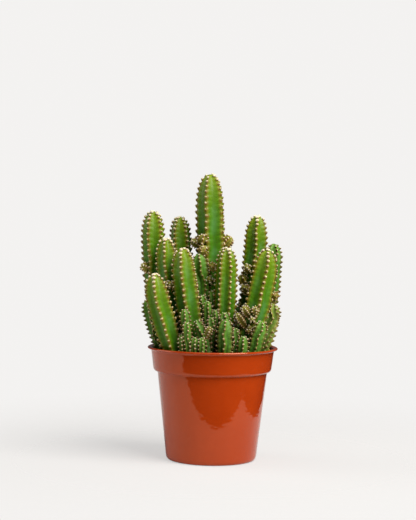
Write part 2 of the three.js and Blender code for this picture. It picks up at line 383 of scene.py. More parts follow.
# shifts, cuts and slants are shares of a rib, of the way between two areoles, or of the radius;
# scales and growth are per metre, profile and weld are in metres, and the rest are powers
ribForm = {"stagger": 0.4, "valleyPower": 1.15, "crestCut": 0.03, "crestNarrow": 60,
           "toothShift": 0.12, "toothPower": 0.9, "toothNarrow": 4.5, "foldShift": 0.5, "foldSlant": 0.3,
           "foldPower": 3, "lumpScale": 160.0, "driftScale": 45, "driftStart": 7.3, "reliefGrowth": 180,
           "profile": 0.01, "weld": 0.00002}


def waved(tree, turn, power):
    # rises to 1 once a turn and falls to 0 between
    return calc(tree, "POWER", calc(tree, "MULTIPLY_ADD", calc(tree, "COSINE", turn), 0.5, 0.5), power)


def makeRibTree():
    form = ribForm
    tree = bpy.data.node_groups.new("ribbedStem", "GeometryNodeTree")
    sockets(tree, "INPUT", Geometry=("Geometry", None), Ribs=("Int", 5), PointsPerRib=("Int", 12),
            StepsPerAreole=("Int", 10), Valley=("Float", 0.71), Tooth=("Float", 0.0012),
            Crease=("Float", 0.0005), Wander=("Float", 0.2), Rough=("Float", 0.0002), Seed=("Float", 0.0),
            Material=("Material", None))
    sockets(tree, "OUTPUT", Geometry=("Geometry", None))
    given = tree.nodes.new("NodeGroupInput").outputs
    ribs, seed, perAreole = given["Ribs"], given["Seed"], given["StepsPerAreole"]
    count = calc(tree, "MULTIPLY", ribs, given["PointsPerRib"])
    index = add(tree, "GeometryNodeInputIndex").outputs[0]

    circle = add(tree, "GeometryNodeCurvePrimitiveCircle", {"Resolution": count, "Radius": form["profile"]})
    profile = store(tree, circle.outputs["Curve"], "around", calc(tree, "DIVIDE", index, count))
    rail = add(tree, "GeometryNodeMeshToCurve", {"Mesh": given["Geometry"]}).outputs[0]
    skin = add(tree, "GeometryNodeCurveToMesh",
               {"Curve": rail, "Profile Curve": profile, "Fill Caps": True}).outputs[0]

    around, phase, s, reach = (stored(tree, name) for name in ("around", "phase", "s", "reach"))
    place, front, side = (stored(tree, name, "FLOAT_VECTOR") for name in ("place", "front", "side"))
    ribPlace = calc(tree, "MULTIPLY", around, ribs)
    ribNumber = calc(tree, "ROUND", ribPlace)
    fromCrest = calc(tree, "MULTIPLY", calc(tree, "ABSOLUTE", calc(tree, "SUBTRACT", ribPlace, ribNumber)), 2)
    ribNumber = calc(tree, "MODULO", ribNumber, ribs)
    stagger = calc(tree, "FRACT", calc(tree, "MULTIPLY", ribNumber, form["stagger"]))
    areolePhase = calc(tree, "FRACT", calc(tree, "ADD", calc(tree, "ADD", phase, stagger), 0.0001))

    # the flanks sink from a sharp crest into a round valley
    sine = calc(tree, "SINE", calc(tree, "MULTIPLY", fromCrest, math.pi / 2))
    sunk = calc(tree, "POWER", sine, form["valleyPower"])
    flank = calc(tree, "MULTIPLY_ADD", calc(tree, "SUBTRACT", given["Valley"], 1), sunk, 1)
    narrow = calc(tree, "MULTIPLY", calc(tree, "POWER", fromCrest, 2), -form["crestNarrow"])
    crest = calc(tree, "MULTIPLY", calc(tree, "EXPONENT", narrow), -form["crestCut"])
    section = calc(tree, "ADD", flank, crest)

    # teeth along the crest, one per areole, and shallow folds across the flanks
    toothTurn = calc(tree, "MULTIPLY", calc(tree, "SUBTRACT", areolePhase, form["toothShift"]), 2 * math.pi)
    outer = calc(tree, "SUBTRACT", 1, fromCrest)
    onCrest = calc(tree, "POWER", outer, form["toothNarrow"])
    teeth = times(tree, waved(tree, toothTurn, form["toothPower"]), onCrest, given["Tooth"])
    foldPlace = calc(tree, "ADD", calc(tree, "MULTIPLY", fromCrest, -form["foldSlant"]),
                     calc(tree, "SUBTRACT", areolePhase, form["foldShift"]))
    fold = waved(tree, calc(tree, "MULTIPLY", foldPlace, 2 * math.pi), form["foldPower"])
    folds = times(tree, fold, times(tree, outer, fromCrest, 4), given["Crease"])
    here = add(tree, "GeometryNodeInputPosition").outputs[0]
    lumps = add(tree, "ShaderNodeTexNoise",
                {"Vector": here, "W": seed, "Scale": form["lumpScale"], "Detail": 2.0},
                noise_dimensions="4D").outputs[0]
    lump = calc(tree, "MULTIPLY", calc(tree, "SUBTRACT", lumps, 0.5), given["Rough"])
    small = calc(tree, "MINIMUM", calc(tree, "MULTIPLY", reach, form["reliefGrowth"]), 1)
    relief = calc(tree, "MULTIPLY", calc(tree, "ADD", calc(tree, "SUBTRACT", teeth, folds), lump), small)
    radius = calc(tree, "ADD", calc(tree, "MULTIPLY", reach, section), relief)
    radius = calc(tree, "MULTIPLY", radius, calc(tree, "GREATER_THAN", reach, 0.000001))

    # the ribs drift a little to one side and back
    driftPlace = calc(tree, "MULTIPLY_ADD", s, form["driftScale"],
                      calc(tree, "MULTIPLY", seed, form["driftStart"]))
    drift = add(tree, "ShaderNodeTexNoise", {"W": driftPlace, "Scale": 1.0, "Detail": 1.0},
                noise_dimensions="1D").outputs[0]
    angle = calc(tree, "MULTIPLY_ADD", calc(tree, "SUBTRACT", drift, 0.5), given["Wander"],
                 calc(tree, "MULTIPLY", around, 2 * math.pi))
    direction = vectorCalc(tree, "ADD", vectorCalc(tree, "SCALE", front, scale=calc(tree, "COSINE", angle)),
                           vectorCalc(tree, "SCALE", side, scale=calc(tree, "SINE", angle)))
    target = vectorCalc(tree, "ADD", place, vectorCalc(tree, "SCALE", direction, scale=radius))

    # areoles sit on the crest, each rib's row shifted against its neighbour's
    step = stored(tree, "step", "INT")
    staggerSteps = calc(tree, "ROUND", calc(tree, "MULTIPLY", stagger, perAreole))
    stepPlace = calc(tree, "MODULO", calc(tree, "ADD", step, staggerSteps), perAreole)
    areole = times(tree, calc(tree, "COMPARE", stepPlace, 0, 0.01), calc(tree, "LESS_THAN", fromCrest, 0.01),
                   calc(tree, "GREATER_THAN", step, 0.5))

    skin = store(tree, skin, "fromCrest", fromCrest)
    skin = store(tree, skin, "areolePhase", areolePhase)
    skin = store(tree, skin, "outward", direction, "FLOAT_VECTOR")
    skin = store(tree, skin, "areole", areole)
    skin = add(tree, "GeometryNodeSetPosition", {"Geometry": skin, "Position": target}).outputs[0]
    skin = add(tree, "GeometryNodeFlipFaces", {"Mesh": skin}).outputs[0]
    skin = add(tree, "GeometryNodeMergeByDistance", {"Geometry": skin, "Distance": form["weld"]}).outputs[0]
    finished(tree, smoothed(tree, skin), given["Material"])
    return tree


# lean is the rise along the stem per unit outwards; tipFade is per metre below the growing point
tuftForm = {"lean": 0.3, "tipLean": 0.8, "tipFade": 140, "spin": 0.35, "smallest": 0.75, "largest": 1.2,
            "thinShare": 0.35, "thinGrowth": 220, "shadeSeed": 11}


def makeTuftTree(name, build):
    # build gives one tuft, which is set on every areole
    form = tuftForm
    tree = bpy.data.node_groups.new(name, "GeometryNodeTree")
    sockets(tree, "INPUT", Geometry=("Geometry", None), Size=("Float", 0.001), TipGrowth=("Float", 0.3),
            Seed=("Int", 0), Material=("Material", None))
    sockets(tree, "OUTPUT", Geometry=("Geometry", None))
    given = tree.nodes.new("NodeGroupInput").outputs
    marked = calc(tree, "GREATER_THAN", stored(tree, "areole"), 0.5)
    points = add(tree, "GeometryNodeMeshToPoints",
                 {"Mesh": given["Geometry"], "Selection": marked}).outputs[0]
    outward, front, side = (stored(tree, key, "FLOAT_VECTOR") for key in ("outward", "front", "side"))
    upward = vectorCalc(tree, "CROSS_PRODUCT", front, side)
    tipward = calc(tree, "EXPONENT", calc(tree, "MULTIPLY", stored(tree, "s"), -form["tipFade"]))
    rise = calc(tree, "MULTIPLY_ADD", tipward, form["tipLean"], form["lean"])
    turned = aimed(tree, vectorCalc(tree, "ADD", outward, vectorCalc(tree, "SCALE", upward, scale=rise)))
    turned = add(tree, "FunctionNodeAlignRotationToVector", {"Rotation": turned, "Vector": upward},
                 axis="Y", pivot_axis="Z").outputs[0]
    spin = drawn(tree, -form["spin"], form["spin"], given["Seed"])
    about = add(tree, "FunctionNodeAxisAngleToRotation", {"Axis": (0, 0, 1), "Angle": spin}).outputs[0]
    turned = add(tree, "FunctionNodeRotateRotation", {"Rotation": turned, "Rotate By": about},
                 rotation_space="LOCAL").outputs[0]
    varied = drawn(tree, form["smallest"], form["largest"], calc(tree, "ADD", given["Seed"], 3))
    grown = calc(tree, "MULTIPLY_ADD", tipward, given["TipGrowth"], 1)
    thin = calc(tree, "MULTIPLY_ADD", stored(tree, "reach"), form["thinGrowth"], form["thinShare"])
    varied = calc(tree, "MULTIPLY", varied, calc(tree, "MINIMUM", thin, 1))
    placed = add(tree, "GeometryNodeInstanceOnPoints",
                 {"Points": points, "Instance": build(tree), "Rotation": turned,
                  "Scale": times(tree, given["Size"], varied, grown)}).outputs[0]
    placed = store(tree, placed, "shade", drawn(tree, 0.0, 1.0, form["shadeSeed"]), domain="INSTANCE")
    finished(tree, realized(tree, placed), given["Material"])
    return tree


# sizes in a tuft are shares of the tuft's own size, and spread is in radians
woolForm = {"cushion": {"wide": 1.2, "tall": 0.8, "thick": 0.6, "shift": 0.45, "segments": 7, "rings": 5},
            "hairs": {"count": 11, "spread": 1.5, "thick": 0.09, "low": 0.8, "high": 1.5, "seed": 5},
            "hairShift": 0.35}
spineForm = {"cushion": {"wide": 0.8, "tall": 0.7, "thick": 0.5, "shift": -0.4, "segments": 5, "rings": 3},
             "radials": {"count": 7, "spread": 1.35, "thick": 0.055, "low": 0.9, "high": 1.6, "seed": 21},
             "centrals": {"count": 2, "spread": 0.4, "thick": 0.07, "low": 1.4, "high": 2.1, "seed": 31}}


def spikes(tree, count, spread, thick, low, high, seed):
    # thin three-sided cones fanned out from one point, each turned on from the last by 2.4 radians
    points = add(tree, "GeometryNodePoints", {"Count": count, "Position": (0, 0, 0)}).outputs[0]
    tilt = drawn(tree, 0.1 * spread, spread, seed)
    around = calc(tree, "MULTIPLY", add(tree, "GeometryNodeInputIndex").outputs[0], 2.4)
    sine = calc(tree, "SINE", tilt)
    direction = add(tree, "ShaderNodeCombineXYZ", {
        "X": calc(tree, "MULTIPLY", sine, calc(tree, "COSINE", around)),
        "Y": calc(tree, "MULTIPLY", sine, calc(tree, "SINE", around)),
        "Z": calc(tree, "COSINE", tilt)}).outputs[0]
    length = drawn(tree, low, high, seed + 1)
    cone = add(tree, "GeometryNodeMeshCone",
               {"Vertices": 3, "Radius Top": 0.0, "Radius Bottom": thick, "Depth": 1.0},
               fill_type="NGON").outputs[0]
    place = add(tree, "GeometryNodeInputPosition").outputs[0]
    height = add(tree, "ShaderNodeSeparateXYZ", {"Vector": place}).outputs["Z"]
    cone = store(tree, cone, "along", height)
    size = add(tree, "ShaderNodeCombineXYZ", {"X": 1.0, "Y": 1.0, "Z": length}).outputs[0]
    fan = add(tree, "GeometryNodeInstanceOnPoints",
              {"Points": points, "Instance": cone, "Rotation": aimed(tree, direction), "Scale": size})
    return realized(tree, fan.outputs[0])


def cushion(tree, wide, tall, thick, shift, segments, rings):
    # a low lumpy ball, shifted along the stem; a shift above 0 is towards the tip
    ball = add(tree, "GeometryNodeMeshUVSphere",
               {"Segments": segments, "Rings": rings, "Radius": 1.0}).outputs[0]
    place = add(tree, "GeometryNodeInputPosition").outputs[0]
    lumps = add(tree, "ShaderNodeTexNoise", {"Vector": place, "Scale": 1.6, "Detail": 2.0}).outputs[0]
    shaped = vectorCalc(tree, "SCALE", vectorCalc(tree, "MULTIPLY", place, (wide, tall, thick)),
                        scale=calc(tree, "MULTIPLY_ADD", lumps, 0.8, 0.6))
    moved = vectorCalc(tree, "ADD", shaped, (0, shift, 0))
    ball = add(tree, "GeometryNodeSetPosition", {"Geometry": ball, "Position": moved}).outputs[0]
    return smoothed(tree, store(tree, ball, "along", 0.0))


def joinOf(tree, *parts):
    made = tree.nodes.new("GeometryNodeJoinGeometry")
    for part in parts:
        tree.links.new(part, made.inputs[0])
    return made.outputs[0]


def woolTuft(tree):
    # a felted cushion above the areole's middle, with short hairs standing out of it
    hairs = add(tree, "GeometryNodeTransform", {"Geometry": spikes(tree, **woolForm["hairs"]),
                "Translation": (0, woolForm["hairShift"], 0)}).outputs[0]
    return joinOf(tree, cushion(tree, **woolForm["cushion"]), hairs)


def spineTuft(tree):
    # a brown cushion under the wool, with spines fanned out of it
    return joinOf(tree, cushion(tree, **spineForm["cushion"]), spikes(tree, **spineForm["radials"]),
                  spikes(tree, **spineForm["centrals"]))


def shaderGroup(name, inputs, outputs):
    tree = bpy.data.node_groups.new(name, "ShaderNodeTree")
    sockets(tree, "INPUT", **inputs)
    sockets(tree, "OUTPUT", **outputs)
    return tree, tree.nodes.new("NodeGroupInput").outputs


def mixed(tree, share, a, b, mode="MIX"):
    made = tree.nodes.new("ShaderNodeMix")
    made.data_type = "RGBA"
    made.blend_type = mode
    for socket, value in ((made.inputs[0], share), (made.inputs[6], a), (made.inputs[7], b)):
        if isinstance(value, bpy.types.NodeSocket):
            tree.links.new(value, socket)
        else:
            socket.default_value = value if isinstance(value, float) else (*value, 1)[:4]
    return made.outputs[2]


def ramped(tree, value, low, high, bottom=0.0, top=1.0):
    values = {"Value": value, "From Min": low, "From Max": high, "To Min": bottom, "To Max": top}
    return add(tree, "ShaderNodeMapRange", values, interpolation_type="SMOOTHSTEP").outputs[0]


def patches(tree, scale, detail=3.0, rough=0.55, shift=(0, 0, 0)):
    place = add(tree, "ShaderNodeTexCoord").outputs["Object"]
    moved = vectorCalc(tree, "ADD", place, shift)
    values = {"Vector": moved, "Scale": scale, "Detail": detail, "Roughness": rough}
    return add(tree, "ShaderNodeTexNoise", values).outputs[0]


def bumped(tree, height, strength, distance):
    values = {"Height": height, "Strength": strength, "Distance": distance}
    return add(tree, "ShaderNodeBump", values).outputs[0]


def attribute(tree, name):
    return add(tree, "ShaderNodeAttribute", attribute_name=name).outputs["Fac"]


def hexColour(text):
    # sRGB hex to linear
    values = [int(text[i:i + 2], 16) / 255 for i in (0, 2, 4)]
    return tuple(v / 12.92 if v <= 0.04045 else ((v + 0.055) / 1.055) ** 2.4 for v in values)


# painted shade low in the middle of the clump: heights over the soil, and distances from the pot's axis
clumpShadeForm = {"low": 0.01, "high": 0.075, "inner": 0.036, "outer": 0.058}


def makeClumpShadeGroup():
    # painted shade: 1 low down in the middle of the clump, 0 outside it and higher up
    form = clumpShadeForm
    tree, _ = shaderGroup("clumpPaintedShade", {}, {"Inside": ("Float", None)})
    place = add(tree, "ShaderNodeTexCoord").outputs["Object"]
    fromAxis = vectorCalc(tree, "LENGTH", vectorCalc(tree, "MULTIPLY", place, (1, 1, 0)))
    level = add(tree, "ShaderNodeSeparateXYZ", {"Vector": place}).outputs["Z"]
    low = ramped(tree, level, soilLevel + form["low"], soilLevel + form["high"], 1.0, 0.0)
    middle = ramped(tree, fromAxis, form["inner"], form["outer"], 1.0, 0.0)
    add(tree, "NodeGroupOutput", {"Inside": calc(tree, "MULTIPLY", middle, low)})
    return tree


clumpShadeGroup = makeClumpShadeGroup()


def paintedClumpShade(tree):
    return add(tree, "ShaderNodeGroup", node_tree=clumpShadeGroup).outputs["Inside"]


def greyOf(tree, value):
    return add(tree, "ShaderNodeCombineColor", {"Red": value, "Green": value, "Blue": value}).outputs[0]


def jittered(tree, value, pattern, most):
    # moves a value by up to half of most to either side, after a pattern
    return calc(tree, "ADD", value, calc(tree, "MULTIPLY_ADD", pattern, most, -most / 2))


# sizes of the patterns per metre, and how strongly each colour lies over the one before
skinForm = {"broad": 60, "fine": 420, "speck": 2200, "bloom": 38, "bloomShare": 0.5, "wornShare": 0.75,
            "markShare": 0.85, "shadeShare": 0.9, "shadeDepth": 0.62, "speckShare": 0.35}


def makeSkinGroup():
    form = skinForm
    tree, given = shaderGroup("stemSkin", {
        "Flank": ("Color", (0.1, 0.3, 0.05, 1)), "Valley": ("Color", (0.02, 0.07, 0.01, 1)),
        "Crest": ("Color", (0.2, 0.2, 0.04, 1)), "Patch": ("Color", (0.1, 0.03, 0.01, 1)),
        "Young": ("Color", (0.2, 0.5, 0.1, 1)), "Old": ("Color", (0.1, 0.06, 0.02, 1)),
        "Bloom": ("Color", (0.1, 0.3, 0.1, 1)),
        "TipLength": ("Float", 0.03), "Age": ("Float", 0.5)},
        {"Color": ("Color", None), "Roughness": ("Float", None), "Height": ("Float", None)})
    fromCrest, phase, s = (attribute(tree, name) for name in ("fromCrest", "areolePhase", "s"))
    broad = patches(tree, form["broad"])
    fine = patches(tree, form["fine"], 4.0)
    speck = patches(tree, form["speck"], 2.0)
    # the skin darkens from the flanks into the rib valleys: painted shade in the furrows
    sunk = ramped(tree, jittered(tree, fromCrest, broad, 0.5), 0.45, 1.05)
    colour = mixed(tree, sunk, given["Flank"], given["Valley"])
    # a thin bluish bloom lies in patches on the flanks
    hazy = patches(tree, form["bloom"], 2.0, shift=(3, 1, 2))
    bloom = calc(tree, "MULTIPLY", ramped(tree, hazy, 0.42, 0.66, 0.0, form["bloomShare"]),
                 ramped(tree, fromCrest, 0.3, 0.8))
    colour = mixed(tree, bloom, colour, given["Bloom"])
    young = calc(tree, "DIVIDE", calc(tree, "MULTIPLY", s, -1), given["TipLength"])
    colour = mixed(tree, calc(tree, "EXPONENT", young), colour, given["Young"])
    # a worn line on the crest, and reddish marks below and above each areole
    worn = ramped(tree, jittered(tree, fromCrest, fine, 0.3), 0.08, 0.4, 1.0, 0.0)
    colour = mixed(tree, calc(tree, "MULTIPLY", worn, form["wornShare"]), colour, given["Crest"])
    before = calc(tree, "MULTIPLY", ramped(tree, phase, 0.5, 0.95),
                  ramped(tree, fromCrest, 0.1, 0.5, 1.0, 0.0))
    after = calc(tree, "MULTIPLY", ramped(tree, phase, 0.1, 0.5, 1.0, 0.0),
                 ramped(tree, fromCrest, 0.12, 0.45, 1.0, 0.0))
    mark = calc(tree, "MULTIPLY", calc(tree, "MAXIMUM", calc(tree, "MULTIPLY", before, 0.5), after),
                ramped(tree, fine, 0.25, 0.6, 0, form["markShare"]))
    colour = mixed(tree, mark, colour, given["Patch"])
    ageing = ramped(tree, calc(tree, "ADD", s, calc(tree, "MULTIPLY", broad, 0.03)), 0.03, 0.14)
    old = times(tree, ageing, given["Age"], ramped(tree, fine, 0.35, 0.7))
    colour = mixed(tree, old, colour, given["Old"])
    # painted shade: low in the middle of the clump the skin is multiplied towards the Old colour
    shaded = calc(tree, "MULTIPLY", paintedClumpShade(tree), form["shadeShare"])
    dark = mixed(tree, form["shadeDepth"], colour, given["Old"], "MULTIPLY")
    colour = mixed(tree, shaded, colour, dark)
    specks = greyOf(tree, ramped(tree, speck, 0.2, 0.8, 0.55, 1.25))
    colour = mixed(tree, form["speckShare"], colour, specks, "MULTIPLY")
    rough = calc(tree, "ADD", ramped(tree, fine, 0.2, 0.8, 0.34, 0.5), calc(tree, "MULTIPLY", mark, 0.2))
    height = calc(tree, "ADD", calc(tree, "MULTIPLY", speck, 0.35), calc(tree, "MULTIPLY", fine, 0.65))
    add(tree, "NodeGroupOutput", {"Color": colour, "Roughness": rough, "Height": height})
    return tree


def newMaterial(name):
    made = bpy.data.materials.new(name)
    made.use_nodes = True
    tree = made.node_tree
    for old in list(tree.nodes):
        tree.nodes.remove(old)
    shader = tree.nodes.new("ShaderNodeBsdfPrincipled")
    add(tree, "ShaderNodeOutputMaterial", {"Surface": shader.outputs[0]})
    return made, tree, shader


def feed(tree, shader, **values):
    for name, value in values.items():
        socket = shader.inputs[name.replace("_", " ")]
        if isinstance(value, bpy.types.NodeSocket):
            tree.links.new(value, socket)
        else:
            socket.default_value = value


def skinMaterial(name, group, looks):
    made, tree, shader = newMaterial(name)
    inner = tree.nodes.new("ShaderNodeGroup")
    inner.node_tree = group
    for key, value in looks.items():
        inner.inputs[key].default_value = (*hexColour(value), 1) if isinstance(value, str) else value
    feed(tree, shader, Base_Color=inner.outputs["Color"], Roughness=inner.outputs["Roughness"],
         Normal=bumped(tree, inner.outputs["Height"], 0.35, 0.0004), IOR=1.45, Specular_IOR_Level=0.18,
         Subsurface_Weight=0.12, Subsurface_Scale=0.003, Coat_Weight=0.08, Coat_Roughness=0.3)
    shader.inputs["Subsurface Radius"].default_value = (0.6, 1.0, 0.25)
    return made


skinGroup = makeSkinGroup()


# inner is painted shade, the wool's colour low in the middle of the clump
woolLooks = {"felt": "b09a60", "light": "e0d2a2", "worn": "8a7240", "wornShare": 0.4, "new": "f2e8c8",
             "newShare": 0.9, "newFade": 160, "inner": "54432a", "paintedShadeShare": 0.7}
spineLooks = {"foot": "80522c", "tip": "c8a878", "pale": "b88a60", "paleShare": 0.25}


def woolMaterial():
    made, tree, shader = newMaterial("areoleWool")
    form = woolLooks
    clumps = ramped(tree, patches(tree, 900), 0.3, 0.7)
    colour = mixed(tree, clumps, hexColour(form["felt"]), hexColour(form["light"]))
    worn = calc(tree, "MULTIPLY", attribute(tree, "shade"), form["wornShare"])
    colour = mixed(tree, worn, colour, hexColour(form["worn"]))
    newest = calc(tree, "EXPONENT", calc(tree, "MULTIPLY", attribute(tree, "s"), -form["newFade"]))
    colour = mixed(tree, calc(tree, "MULTIPLY", newest, form["newShare"]), colour, hexColour(form["new"]))
    # painted shade: wool low in the middle of the clump turns towards the inner colour
    inner = calc(tree, "MULTIPLY", paintedClumpShade(tree), form["paintedShadeShare"])
    colour = mixed(tree, inner, colour, hexColour(form["inner"]))
    felted = bumped(tree, patches(tree, 3500, 2.0), 0.6, 0.0003)
    feed(tree, shader, Base_Color=colour, Roughness=0.9, Normal=felted, Sheen_Weight=0.4, Sheen_Roughness=0.5,
         Subsurface_Weight=0.1, Subsurface_Scale=0.001, Specular_IOR_Level=0.2)
    return made


def spineMaterial():
    made, tree, shader = newMaterial("spine")
    form = spineLooks
    tipward = ramped(tree, attribute(tree, "along"), 0.05, 0.9)
    colour = mixed(tree, tipward, hexColour(form["foot"]), hexColour(form["tip"]))
    pale = calc(tree, "MULTIPLY", attribute(tree, "shade"), form["paleShare"])
    colour = mixed(tree, pale, colour, hexColour(form["pale"]))
    feed(tree, shader, Base_Color=colour, Roughness=ramped(tree, patches(tree, 1500), 0.3, 0.7, 0.35, 0.6))
    return made


def sectionOf(node, degrees):
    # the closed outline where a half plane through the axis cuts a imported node, as (radius, height)
    points, _, triangles = merged(node)
    cut = bmesh.new()
    corners = [cut.verts.new(p) for p in points]
    for t in triangles:
        cut.faces.new([corners[i] for i in t])
    turn = math.radians(degrees)
    normal = Vector((-math.sin(turn), math.cos(turn), 0))
    ray = Vector((math.cos(turn), math.sin(turn), 0))
    bmesh.ops.bisect_plane(cut, geom=cut.verts[:] + cut.edges[:] + cut.faces[:], plane_co=(0, 0, 0),
                           plane_no=normal, clear_inner=True, clear_outer=True, dist=1e-7)
    outline = [v for v in cut.verts if v.co.dot(ray) > -1e-6]
    near = {}
    for v in outline:
        others = [e.other_vert(v) for e in v.link_edges]
        near[v] = [other for other in others if other.co.dot(ray) > -1e-6]
    start = min(outline, key=lambda v: (round(v.co.z, 5), v.co.dot(ray)))
    loop, here, before = [], start, None
    while here is not None and (not loop or here is not start):
        loop.append((here.co.dot(ray), here.co.z))
        ahead = [v for v in near[here] if v is not before]
        before, here = here, ahead[0] if ahead else None
    cut.free()
    return loop


def withoutStraights(outline):
    kept = []
    for i, b in enumerate(outline):
        a, c = outline[i - 1], outline[(i + 1) % len(outline)]
        u = Vector((b[0] - a[0], b[1] - a[1]))
        w = Vector((c[0] - b[0], c[1] - b[1]))
        if u.length > 1e-6 and w.length > 1e-6 and abs(u.normalized().dot(w.normalized())) < 0.99999:
            kept.append(b)
    return kept


# corner is the most that a corner is cut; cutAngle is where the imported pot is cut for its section
potForm = {"sides": 160, "corner": 0.0006, "cutAngle": 22.5, "cadSides": 36, "colour": "a5380c",
           "shadeColour": "9c3208", "dust": "b89880", "rippleScale": 130.0, "rippleStrength": 0.7,
           "rippleDepth": 0.00022}
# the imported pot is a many-sided turning: widen the cut to its corner radius
facet = math.radians(180 / potForm["cadSides"])
offFacet = math.radians(abs(potForm["cutAngle"] % (360 / potForm["cadSides"]) - 180 / potForm["cadSides"]))
widen = math.cos(offFacet) / math.cos(facet)
outline = [(r * widen, z) for r, z in withoutStraights(sectionOf("pot", potForm["cutAngle"]))]


def wallInside(level):
    # radius of the pot's inner face at a level
    crossed = []
    for (r, low), (q, high) in zip(outline, outline[1:] + outline[:1]):
        if (low - level) * (high - level) < 0:
            crossed.append(r + (q - r) * (level - low) / (high - low))
    return min(crossed)


wallForm = {"gap": 0.3 * mm, "bare": 2 * mm, "overRim": 1 * mm, "underRim": 1 * mm}


def pressed(mesh):
    # stems flatten where they grow against the wall, and have no wool there
    rim = nodeBoxes["pot"][1].z
    areole = mesh.attributes["areole"].data
    for v in mesh.vertices:
        if v.co.z > rim + wallForm["overRim"]:
            continue
        limit = wallInside(min(v.co.z, rim - wallForm["underRim"])) - wallForm["gap"]
        across = math.hypot(v.co.x, v.co.y)
        if across > limit - wallForm["bare"]:
            areole[v.index].value = 0
        if across > limit:
            v.co.x *= limit / across
            v.co.y *= limit / across


ribTree = makeRibTree()
woolTree = makeTuftTree("areoleWool", woolTuft)
spineTree = makeTuftTree("areoleSpines", spineTuft)
wool, spine = woolMaterial(), spineMaterial()
# pitch is the step between areoles in millimetres, before the stem's width adds to it
bigStem = {"pitch": 2.2, "pitchGrowth": 0.28, "wool": 0.00096, "newWool": 0.9, "spines": 0.00085,
           "rib": {"PointsPerRib": 12, "StepsPerAreole": 10, "Valley": 0.7, "Tooth": 0.0016,
                   "Crease": 0.00015, "Wander": 0.25, "Rough": 0.0004},
           "looks": {"Flank": "407604", "Valley": "306604", "Crest": "86801e", "Patch": "6c3a16",
                     "Young": "788c12", "Old": "4e4a1a", "Bloom": "569452", "TipLength": 0.02, "Age": 0.5}}
smallStem = {"pitch": 2.8, "pitchGrowth": 0.25, "wool": 0.0006, "newWool": 0.4, "spines": 0.00075,
             "rib": {"PointsPerRib": 10, "StepsPerAreole": 5, "Valley": 0.7, "Tooth": 0.0021,
                     "Crease": 0.0002, "Wander": 1.6, "Rough": 0.0014},
             "looks": {"Flank": "4b7a1e", "Valley": "1e380a", "Crest": "6c6a2a", "Patch": "542c14",
                       "Young": "6c9838", "Old": "3a2a14", "Bloom": "4f8a34", "TipLength": 0.012, "Age": 0.6}}
bud = {"pitch": 2.1, "pitchGrowth": 0.2, "wool": 0.00062, "newWool": 0.5, "spines": 0.00075,
       "rib": {"PointsPerRib": 10, "StepsPerAreole": 5, "Valley": 0.78, "Tooth": 0.0015,
               "Crease": 0.0002, "Wander": 0.8, "Rough": 0.0006},
       "looks": {"Flank": "807424", "Valley": "4a4814", "Crest": "8c6230", "Patch": "6c3c1a",
                 "Young": "8c8c34", "Old": "4a3420", "Bloom": "868a48", "TipLength": 0.004, "Age": 0.5}}
# the one yellowish stem has more ribs than the others
yellowStem = {"node": "low_right_stem", "ribs": 7,
              "looks": {"Flank": "68822c", "Valley": "36561a", "Crest": "a09650", "Patch": "643e20",
                        "Young": "7c8e3a", "Old": "54481f", "Bloom": "7c9250", "TipLength": 0.012,
                        "Age": 0.4}}
crowding = 1.2
spineGrowth = 0.2
materials = {"big_stem": skinMaterial("bigStemSkin", skinGroup, bigStem["looks"]),
             "bud": skinMaterial("budSkin", skinGroup, bud["looks"]),
             "small_stem": skinMaterial("smallStemSkin", skinGroup, smallStem["looks"]),
             "yellow_stem": skinMaterial("yellowStemSkin", skinGroup, yellowStem["looks"])}
tufts = {}
for number, node in enumerate(sorted(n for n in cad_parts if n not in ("pot", "soil"))):
    stem = readStem(node)
    if not stem["rooted"]:
        family, form = "bud", bud
    elif stem["rings"] >= mostRings:
        family, form = "big_stem", bigStem
    else:
        family, form = "small_stem", smallStem
    isYellow = node == yellowStem["node"]
    pitch = form["pitch"] * mm + form["pitchGrowth"] * stem["radius"]
    rail = railObject(node + "_rail", railOf(stem, form["rib"]["StepsPerAreole"], pitch, crowding))
    skin = baked(rail, ribTree, node + "_skin", Ribs=yellowStem["ribs"] if isYellow else stem["ribs"],
                 Seed=float(number), Material=materials["yellow_stem" if isYellow else family], **form["rib"])
    pressed(skin)
    made = pieceOf(node + "_skin", skin, "stem_skin" if stem["rooted"] else "offset_skin", node)
    woolMesh = baked(made, woolTree, "wool", Size=form["wool"], TipGrowth=form["newWool"], Seed=number,
                     Material=wool)
    spineMesh = baked(made, spineTree, "spines", Size=form["spines"], TipGrowth=spineGrowth, Seed=number,
                      Material=spine)
    tufts.setdefault(family, []).append((woolMesh, spineMesh))
    bpy.data.objects.remove(rail)
for family, meshes in tufts.items():
    for kind, which, slot in (("wool", 0, "areole_wool"), ("spines", 1, "spine")):
        pieceOf(f"{family}_{kind}", joined([pair[which] for pair in meshes]), slot)


def softened(outline, most, rounds=2):
    # every corner is cut twice, by at most a set length
    for _ in range(rounds):
        cut = []
        for i, b in enumerate(outline):
            a, c = outline[i - 1], outline[(i + 1) % len(outline)]
            for other in (a, c):
                step = Vector((other[0] - b[0], other[1] - b[1]))
                step *= min(0.25, most / max(step.length, 1e-9))
                cut.append((b[0] + step.x, b[1] + step.y))
        outline = cut
        most *= 0.5
    return outline


def onCircle(r, number, sides):
    turn = math.tau * number / sides
    return r * math.cos(turn), r * math.sin(turn)


